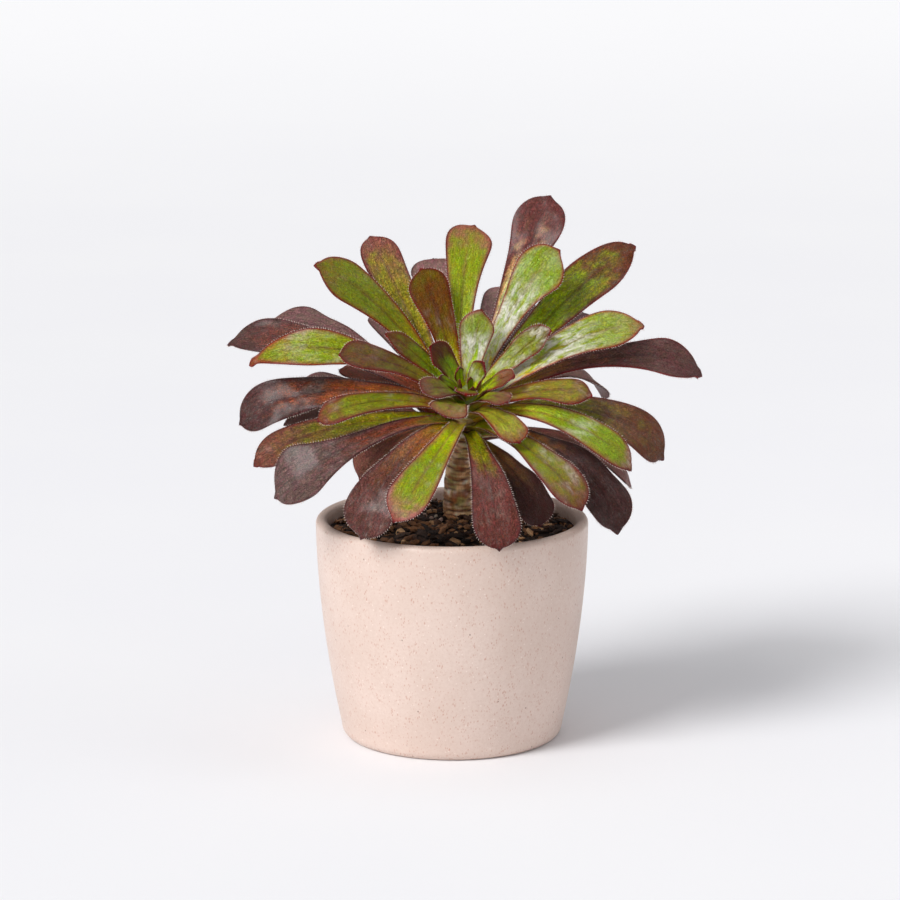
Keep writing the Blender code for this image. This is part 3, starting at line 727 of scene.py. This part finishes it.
def leaf_tint(flat, S, V, half, length, top, look, seed):
    """Linear colours of each point: neck to end, with a rib, mottling, a margin and painted light towards
    the neck; and its finish.

    The finish holds the pale veil with its painted sheen, the gloss and, for hairs only, a mark that they
    are hairs.
    """
    s, v = S.reshape(-1), V.reshape(-1)
    neck, fresh, flushed, reds, margin, veil_and_sheen, gloss = look
    neck, fresh, flushed, margin = (skin_colour(c) for c in (neck, fresh, flushed, margin))
    upper = (top[None, :] * np.ones_like(S)).reshape(-1) > 0
    slow = turbulence(flat, 0.09, seed)
    quick = turbulence(flat, 0.33, seed + 9)
    place = np.clip(s + 0.06 * slow + 0.03 * quick + 0.09 * (v**2 - 0.3), 0, 1)
    red = np.interp(place, RED_STOPS, reds)
    red = red + (0.5 * quick + 0.3 * slow) * red * (1.2 - red) * 1.4
    red = smooth(red * 1.15 - 0.05)
    from_edge = (1 - abs(v)) * (half[:, None] * np.ones_like(V)).reshape(-1)
    small = min(1.0, half.max() / 7)
    # young leaves flush from the margin inwards, and along the midrib near the neck
    red = red + 0.75 * np.exp(-((from_edge / (1.5 * small)) ** 2)) * smooth(s / 0.4)
    rib = np.exp(-((v / 0.1) ** 2)) * smooth(s / 0.1) * (1 - smooth((s - 0.7) / 0.2))
    colours = blend(fresh, flushed, np.clip(red + 0.35 * rib, 0, 1))
    to_end = (1 - s) * length
    ripe = 0.62 * np.exp(-((from_edge / (1.1 * small)) ** 2)) * smooth(s / 0.4)
    ripe = ripe + 0.65 * np.exp(-((to_end / (5 * small)) ** 2))
    colours = blend(colours, flushed * RIPE_SHADE, np.clip(ripe, 0, 1))
    colours = blend(colours, neck, 1 - smooth((place - 0.06) / 0.26))
    colours = colours * (1 - 0.25 * rib * upper)[:, None]
    # painted light: deep in the rosette the skin is painted brighter towards the neck, lifting the shade
    # there
    colours = colours * (1 + NECK_PAINTED_LIGHT * (1 - smooth(s / 0.6)))[:, None]
    under = blend(colours, skin_colour(UNDERSIDE), 0.65)
    colours = np.where(upper[:, None], colours, under)
    edge = (1 - smooth((from_edge / small - 0.3) / 0.45)) * smooth(s / 0.3)
    edge = np.maximum(edge, 1 - smooth((to_end / small - 0.9) / 1.4))
    colours = blend(colours, margin * MARGIN_SHADE, 0.9 * edge)
    finish = np.zeros_like(colours)
    # the pale veil, partly a painted sheen, lies in patches on the upper side, away from the edge
    veil_and_sheen_mask = smooth((slow + 0.55 * quick + 1.3 * veil_and_sheen - 0.25) / 0.8)
    if veil_and_sheen > 0.7:
        # on the palest leaves the veil, with its painted sheen, ends halfway
        veil_and_sheen_mask = veil_and_sheen_mask * (1 - 0.9 * smooth((s - 0.5) / 0.25))
    finish[:, 0] = veil_and_sheen * veil_and_sheen_mask * upper * smooth(from_edge / 1.5)
    finish[:, 1] = gloss * np.where(upper, 1.0, 0.4) * (1 - 0.5 * edge)
    return np.clip(colours, 0, 1), finish


LEAF_FACES = ring_faces(ROWS, ROUND) + end_faces(ROWS, ROUND)


def leaf_hairs(width, flat, draw):
    """Short stiff hairs that fringe both edges, as small closed spikes."""
    points, faces = [], []
    grid = flat.reshape(ROWS, ROUND, 3)
    quarter = ROUND // 4
    for column in (quarter, 3 * quarter):
        edge = grid[:, column]
        inside = grid[:, (column - 2) % ROUND] * 0.5 + grid[:, (column + 2) % ROUND] * 0.5
        run = np.concatenate([[0], np.linalg.norm(np.diff(edge, axis=0), axis=1).cumsum()])
        place = run[-1] * 0.12
        while place < run[-1] * 0.985:
            i = int(np.searchsorted(run, place)) - 1
            i = max(0, min(ROWS - 2, i))
            share = (place - run[i]) / max(1e-6, run[i + 1] - run[i])
            foot = edge[i] * (1 - share) + edge[i + 1] * share
            ahead = unit(edge[i + 1] - edge[i])
            out = foot - (inside[i] * (1 - share) + inside[i + 1] * share)
            out = unit(out - ahead * out.dot(ahead))
            flatwise = unit(np.cross(ahead, out))
            lean = draw.uniform(0.1, 0.7)
            aim = unit(out + ahead * lean + flatwise * draw.uniform(-0.35, 0.35))
            long = draw.uniform(*HAIR_LONG) * min(1.0, width / 16)
            ahead, flatwise = ahead * HAIR_THICK, flatwise * HAIR_THICK
            start = len(points)
            centre = foot - out * 0.12
            points += [
                centre + ahead,
                centre - ahead * 0.5 + flatwise * 0.87,
                centre - ahead * 0.5 - flatwise * 0.87,
                centre + aim * long,
            ]
            faces += [
                (start, start + 1, start + 3),
                (start + 1, start + 2, start + 3),
                (start + 2, start, start + 3),
                (start, start + 2, start + 1),
            ]
            place += draw.uniform(*HAIR_SPACING)
    return np.array(points), faces


def build_leaf(name, row, look, material):
    draw = random.Random(name)
    flat, S, V, half, top, length = leaf_points(name, row, draw)
    seed = draw.uniform(0, 60)
    colours, finish = leaf_tint(flat, S, V, half, length, top, look, seed)
    place = np.zeros_like(colours)
    place[:, 0] = (S * length).reshape(-1) / 100
    place[:, 1] = (V * half[:, None]).reshape(-1) / 100 + 1
    place[:, 2] = (top[None, :] * np.ones_like(S)).reshape(-1) * 0.5 + seed
    hairs, hair_faces = leaf_hairs(row[4], flat, draw)
    count = len(flat)
    faces = LEAF_FACES + [tuple(i + count for i in face) for face in hair_faces]
    obj = make_mesh(name + "_skin", np.vstack([flat, hairs]), faces, [material])
    extra = len(hairs)
    hair_finish = np.tile([0.0, 0.3, 1.0], (extra, 1))
    set_colours(obj, "tint", np.vstack([colours, np.tile(linear((240, 226, 214)), (extra, 1))]))
    set_colours(obj, "place", np.vstack([place, np.zeros((extra, 3))]))
    set_colours(obj, "finish", np.vstack([finish, hair_finish]))
    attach(obj, "root")
    name.split("_")[0] + "_leaf"
    return obj


def build_leaves():
    skins = {
        "bud": leaf_material("bud_skin", 0.8, 0.05),
        "inner": leaf_material("inner_skin", 1.0, 0.08),
        "middle": leaf_material("middle_skin", 1.0, 0.12),
        "outer": leaf_material("outer_skin", 3.4, 0.24, 0.45, 0.8),
        "old": leaf_material("old_skin", 1.8, 0.1, 0.25, 0.6),
    }
    for kind, rows in LEAVES.items():
        for number, (row, look) in enumerate(zip(rows, LOOKS[kind]), 1):
            name = f"{kind}_leaf_{number}"
            skin = build_leaf(name, row, look, skins[kind])
            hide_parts(name)
    for number, row in enumerate(HEART, 6):
        build_leaf(f"bud_leaf_{number}", row, HEART_LOOK, skins["bud"])


# ---------------------------------------------------------------- stem


STEM_ROUND = 112
GOLDEN_ANGLE = math.radians(137.5)
# The lowest leaf scar, and how near the growing point the highest may be (mm along the stem)
FIRST_SCAR = 24.0
LAST_SCAR = 8
# painted light: the bark's colours are set lighter, to lift the shade the leaves cast on the stem
STEM_TAN, STEM_OLIVE, STEM_BROWN = (226, 182, 130), (184, 158, 96), (178, 104, 54)
SCAR_PALE, SCAR_DARK, RING_RUST = (250, 228, 206), (46, 24, 14), (158, 88, 40)
STEM_YOUNG, STEM_MIDDLE = (176, 168, 110), (184, 146, 104)


def stem_rings():
    """Centres and radii of the stem's rings, closer together than those of its plan."""
    known = np.arange(len(STEM_CENTRES))
    wanted = np.linspace(0, known[-1], 7 * known[-1] + 1)
    centres = np.stack([np.interp(wanted, known, STEM_CENTRES[:, axis]) for axis in range(3)], axis=1)
    return centres, np.interp(wanted, known, STEM_RADII)


def stem_scars(along, angle):
    """The crescent scars that fallen leaves leave, in a spiral: how they lift, darken and pale the bark."""
    draw = random.Random(5)
    bulge, dark, pale = np.zeros_like(along), np.zeros_like(along), np.zeros_like(along)
    spot, turn = FIRST_SCAR, 0.0
    while spot < along[-1, 0] - LAST_SCAR:
        wide = draw.uniform(7.5, 10.0)
        tall = draw.uniform(1.8, 2.6)
        dx = ((angle - turn + np.pi) % (2 * np.pi) - np.pi) * STEM_RADIUS
        dz = along - spot + 0.02 * dx**2 + 0.25 * np.sin(dx * 0.9 + spot)
        inside = np.exp(-(((dx / wide) ** 2 + (dz / tall) ** 2) ** 2))
        line = np.exp(-(((dz - tall * 0.75) / 0.42) ** 2)) * np.exp(-((dx / wide) ** 4))
        bulge += 0.3 * inside - 0.5 * line
        dark = np.maximum(dark, line)
        pale = np.maximum(pale, inside * draw.uniform(0.2, 1.0))
        spot += draw.uniform(1.7, 2.3)
        turn += GOLDEN_ANGLE + draw.uniform(-0.12, 0.12)
    return bulge.ravel(), dark.ravel(), pale.ravel()


def stem_tint(flat, along, angle, dark, pale):
    """Linear colours of the bark: patches, rusty rings, pale scars with dark lines, and a young top."""
    patch = smooth(turbulence(flat, 0.16, 21) * 1.4 + 0.5)
    colour = blend(linear(STEM_TAN), linear(STEM_OLIVE), patch)
    colour = blend(colour, linear(STEM_BROWN), 0.75 * smooth(turbulence(flat, 0.3, 33) * 1.8 - 0.1))
    bright = pale * smooth(turbulence(flat, 0.4, 40) + 0.5)
    colour = blend(colour, linear(SCAR_PALE), 0.55 * bright)
    unrolled = np.c_[angle * 2.5, angle * 0, along * 1.5]
    colour = blend(colour, linear(RING_RUST), 0.6 * smooth(turbulence(unrolled, 0.4, 71) * 2.6 + 0.45))
    line = dark * (0.65 + 0.35 * smooth(turbulence(flat, 0.25, 55) * 2 + 0.5))
    colour = blend(colour, linear(SCAR_DARK), 0.85 * line)
    colour = blend(colour, linear(STEM_YOUNG), smooth((along - (along.max() - 20)) / 14))
    middle = linear(STEM_MIDDLE)
    return np.clip(middle * (np.maximum(colour, 0.002) / middle) ** 1.6, 0, 1)


def build_stem():
    centres, radii = stem_rings()
    rows = len(radii)
    run = np.concatenate([[0], np.linalg.norm(np.diff(centres, axis=0), axis=1).cumsum()])
    ups = unit(np.gradient(centres, axis=0))
    x_axis = unit(np.cross(np.array([0, 1.0, 0]), ups))
    y_axis = np.cross(ups, x_axis)
    angle = np.linspace(0, 2 * np.pi, STEM_ROUND, endpoint=False) * np.ones((rows, 1))
    along = run[:, None] * np.ones(STEM_ROUND)
    bulge, dark, pale = stem_scars(along, angle)
    across = x_axis[:, None] * np.cos(angle)[..., None] + y_axis[:, None] * np.sin(angle)[..., None]
    flat = (centres[:, None] + across * radii[:, None, None]).reshape(-1, 3)
    angle, along = angle.ravel(), along.ravel()
    rough = turbulence(flat, 0.22, 3) * 0.45 + turbulence(flat, 0.8, 8) * 0.2
    lift = (bulge * 0.8 + rough) * smooth((run[-1] - along) / 6)
    flat = flat + across.reshape(-1, 3) * lift[:, None]
    faces = ring_faces(rows, STEM_ROUND, flipped=True) + end_faces(rows, STEM_ROUND, flipped=True)
    obj = make_mesh("stem_bark", flat, faces, [bark_material()])
    set_colours(obj, "tint", stem_tint(flat, along, angle, dark, pale))
    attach(obj, "root")
    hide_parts("stem")


# ---------------------------------------------------------------- pot and soil

POT_HEIGHT, POT_RADIUS, POT_WALL, POT_FLOOR = 98, 60, 5.3, 7
POT_TAPER, POT_POWER = 12, 1.83
FOOT_RADIUS, FOOT_ROUND = 45.5, 4
SOIL_EDGE, SOIL_TOP = 92, 96
INNER_ROUND = 9
POT_ROUND = 180


def pot_outer(z):
    return POT_RADIUS - POT_TAPER * max(0.0, 1 - z / POT_HEIGHT) ** POT_POWER


def pot_inner(z):
    return pot_outer(z) - POT_WALL


def arc(x, z, wide, tall, start, end, count):
    """Points of a stretched arc in the profile plane; angles in degrees from +x towards +z."""
    angles = np.radians(np.linspace(start, end, count))
    return [(x + wide * math.cos(a), z + tall * math.sin(a)) for a in angles]


def build_pot():
    """The pot as one turned skin: inside floor, inner wall, lip, outer wall and foot."""
    lip = POT_WALL / 2
    lip_height = POT_HEIGHT - lip
    bend = POT_FLOOR + INNER_ROUND
    foot = FOOT_ROUND + 1
    profile = arc(pot_inner(bend) - INNER_ROUND, bend, INNER_ROUND, INNER_ROUND, -90, 0, 10)
    profile += [(pot_inner(z), z) for z in np.linspace(20, lip_height - 3, 18)]
    profile += arc(pot_outer(POT_HEIGHT) - lip, lip_height, lip, lip, 180, 0, 21)
    profile += [(pot_outer(z), z) for z in np.linspace(lip_height - 2, 8, 40)]
    profile += arc(FOOT_RADIUS, foot, pot_outer(foot) - FOOT_RADIUS, -foot, 0, 90, 9)
    profile.append((FOOT_RADIUS - 1, 0.0))
    rows = len(profile)
    turns = [2 * math.pi * j / POT_ROUND for j in range(POT_ROUND)]
    points = [(r * math.cos(a), r * math.sin(a), z) for r, z in profile for a in turns]
    faces = ring_faces(rows, POT_ROUND)
    # a fan closes the inside floor, and another the underside
    top = len(points)
    last = (rows - 1) * POT_ROUND
    points += [(0, 0, POT_FLOOR), (0, 0, 0)]
    for j in range(POT_ROUND):
        k = (j + 1) % POT_ROUND
        faces += [(top, j, k), (top + 1, last + k, last + j)]
    obj = make_mesh("pot_body", points, faces, [clay_material()])
    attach(obj, "root")
    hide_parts("pot")


def soil_height(x, y):
    span = pot_inner(SOIL_EDGE)
    return SOIL_EDGE + (SOIL_TOP - SOIL_EDGE) * (1 - (x * x + y * y) / span**2)


def add_lump(points, faces, tints, centre, size, colour, draw):
    """A rough angular lump: a jittered icosahedron squeezed to size and turned at random."""
    golden = (1 + 5**0.5) / 2
    corners = []
    for a in (-1, 1):
        for b in (-golden, golden):
            corners += [(0, a, b), (a, b, 0), (b, 0, a)]
    corners = np.array(corners) / 1.9
    corners = corners * np.array([[draw.uniform(0.75, 1.25) for _ in range(3)] for _ in corners])
    corners = corners * np.array(size)
    yaw, tilt, spin = draw.uniform(0, 6.28), draw.gauss(0, 0.35), draw.gauss(0, 0.35)
    turn = Matrix.Rotation(yaw, 3, "Z") @ Matrix.Rotation(tilt, 3, "X") @ Matrix.Rotation(spin, 3, "Y")
    corners = corners @ np.array(turn).T + np.array(centre)
    start = len(points)
    points.extend(corners.tolist())
    hull = bmesh.new()
    verts = [hull.verts.new(c) for c in corners]
    bmesh.ops.convex_hull(hull, input=verts)
    hull.verts.index_update()
    for face in hull.faces:
        faces.append(tuple(start + v.index for v in face.verts))
    hull.free()
    tints.extend([linear(colour)] * len(corners))


CRUMBS = 1500
BROWNS = [(52, 34, 26), (84, 54, 36), (36, 24, 20), (112, 74, 46), (140, 96, 62), (66, 46, 36)]
TANS = [(172, 124, 82), (200, 156, 112), (150, 108, 74)]
PUMICE = [(236, 212, 198), (220, 190, 176), (246, 232, 212)]
PALE_CHIPS = [(226, 178, 130), (206, 154, 106)]
PUMICE_PLACES = [(-3, 1), (-7, 3), (-9, -1), (-5, -4), (9, 1), (-12, 6), (14, 12), (-2, 20)]
CHIP_PLACES = [(38, -14), (34, -20), (42, -4), (30, -30), (-34, -16), (20, 38), (-30, 30)]
# Share of the crumbs up to and with each kind, and the ranges of its length, width and height (mm)
CRUMB_SIZES = (
    (0.2, ((2.6, 5.0), (1.3, 2.4), (0.8, 1.5))),
    (0.5, ((1.2, 2.2), (0.8, 1.4), (0.5, 0.9))),
    (1.0, ((0.5, 1.1), (0.4, 0.8), (0.3, 0.7))),
)


def build_soil():
    """The soil keeps its plain solid; crumbs and bark chips lie all over it."""
    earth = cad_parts["soil"].data.materials
    earth.clear()
    earth.append(earth_material())
    draw = random.Random(17)
    points, faces, tints = [], [], []
    reach = pot_inner(SOIL_EDGE) - 1.2
    made = 0
    while made < CRUMBS:
        r = reach * math.sqrt(draw.random())
        a = draw.uniform(0, 2 * math.pi)
        x, y = r * math.cos(a), r * math.sin(a)
        big = draw.random()
        ranges = next(ranges for share, ranges in CRUMB_SIZES if big < share)
        size = [draw.uniform(*span) for span in ranges]
        gap = math.hypot(x - STEM_PATH[0][0], y - STEM_PATH[0][1])
        if gap < STEM_RADIUS or r + size[0] * 0.8 > reach + 0.6:
            continue
        pick = draw.random()
        colour = draw.choice(TANS) if pick < 0.14 else draw.choice(BROWNS)
        z = soil_height(x, y) + size[2] * draw.uniform(0.1, 0.8) + 0.3
        add_lump(points, faces, tints, (x, y, z), size, colour, draw)
        made += 1
    # pale pumice grains by the foot of the stem, and a few tan chips further out
    for x, y in PUMICE_PLACES:
        colour = draw.choice(PUMICE)
        size = [draw.uniform(0.9, 1.6) for _ in range(3)]
        add_lump(points, faces, tints, (x, y, soil_height(x, y) + 1.2), size, colour, draw)
    for x, y in CHIP_PLACES:
        colour = draw.choice(PALE_CHIPS)
        size = (draw.uniform(2.2, 3.4), draw.uniform(1.2, 1.8), 0.8)
        add_lump(points, faces, tints, (x, y, soil_height(x, y) + 1.3), size, colour, draw)
    obj = make_mesh("soil_crumbs", np.array(points), faces, [chip_material()], smooth_faces=False)
    set_colours(obj, "tint", np.array(tints))
    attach(obj, "root")


# ---------------------------------------------------------------- stage


FLOOR_RADIUS = 14
# Strength of the room's light: on matt surfaces, as the backdrop, and in gloss outside the patches
ROOM_FILL = 0.46
BACKDROP = 0.97
ROOM_GLOSS = 0.05
# Soft bright patches that only gloss reflects: direction, where each starts and is full, strength
PATCHES = (
    ((-0.62, -0.45, 0.64), 0.66, 0.99, 1.0),
    ((0.25, 0.3, 0.92), 0.7, 0.99, 1.4),
)
# Round lamps: name, place, what each is aimed at, size, power, colour
LAMPS = (
    ("overhead", (0.2, 0.25, 1.3), (0, 0, 0.16), 0.6, 1.1, (1, 1, 1)),
    ("front_bounce", (-0.35, -1.25, 0.3), (0, 0, 0.12), 0.7, 1.2, (1, 0.985, 0.96)),
    ("left_fill", (-1.3, -0.4, 0.5), (0, 0, 0.1), 0.8, 0.7, (1, 1, 1)),
    ("right_fill", (1.3, -0.1, 0.45), (0, 0, 0.08), 0.8, 1.5, (1, 0.93, 0.89)),
)
SUN_AIM = (0.766, 0.643, -0.86)
SUN_POWER = 2.5
SUN_SPREAD = math.radians(26)
CAMERA_PLACE = (-0.0009, -1.591, 0.4717)
CAMERA_DIP = math.radians(12.2)
CAMERA_LENS = 148.44


def add_to_scene(name, data):
    obj = bpy.data.objects.new(name, data)
    bpy.context.scene.collection.objects.link(obj)
    return obj


def add_light(name, kind, power, colour, aim):
    data = bpy.data.lights.new(name, kind)
    data.energy = power
    data.color = colour
    light = add_to_scene(name, data)
    light.rotation_euler = Vector(aim).to_track_quat("-Z", "Y").to_euler()
    return light


def build_lights():
    sun = add_light("window", "SUN", SUN_POWER, (1, 0.995, 0.985), SUN_AIM)
    sun.data.angle = SUN_SPREAD
    for name, place, target, size, power, colour in LAMPS:
        lamp = add_light(name, "AREA", power, colour, Vector(target) - Vector(place))
        lamp.data.shape = "DISK"
        lamp.data.size = size
        lamp.location = place


def build_world():
    """A pale room: even fill, a plain backdrop, and soft bright patches that only gloss reflects."""
    world = bpy.data.worlds.new("room")
    bpy.context.scene.world = world
    n = Nodes(world)
    coords = n.add("TexCoord").outputs["Generated"]
    glow = ROOM_GLOSS
    for direction, low, high, strength in PATCHES:
        dot = n.add("VectorMath")
        dot.operation = "DOT_PRODUCT"
        n.put(dot.inputs[0], coords)
        dot.inputs[1].default_value = Vector(direction).normalized()
        glow = n.plus(n.span(dot.outputs["Value"], low, high, 0.0, strength), glow)
    path = n.add("LightPath").outputs
    seen = n.times(path["Is Camera Ray"], BACKDROP - ROOM_FILL)
    gloss = n.times(path["Is Glossy Ray"], n.math("SUBTRACT", glow, ROOM_FILL))
    background = n.tree.nodes["Background"].inputs
    n.put(background["Strength"], n.plus(n.plus(seen, gloss), ROOM_FILL))
    background["Color"].default_value = (0.985, 0.99, 1.0, 1)


def build_floor():
    mesh = bpy.data.meshes.new("floor")
    disc = bmesh.new()
    bmesh.ops.create_circle(disc, cap_ends=True, segments=96, radius=FLOOR_RADIUS)
    disc.to_mesh(mesh)
    disc.free()
    floor = add_to_scene("floor", mesh)
    mesh.materials.append(floor_material())


def build_camera():
    data = bpy.data.cameras.new("camera")
    data.sensor_width = 36
    data.lens = CAMERA_LENS
    data.clip_end = 60
    camera = add_to_scene("camera", data)
    camera.location = CAMERA_PLACE
    camera.rotation_euler = (math.pi / 2 - CAMERA_DIP, 0, 0)
    bpy.context.scene.camera = camera
    view = bpy.context.scene.view_settings
    view.view_transform = "Standard"
    view.look = "None"
    view.exposure = 0.0


build_leaves()
build_stem()
build_pot()
build_soil()
build_floor()
build_world()
build_lights()
build_camera()
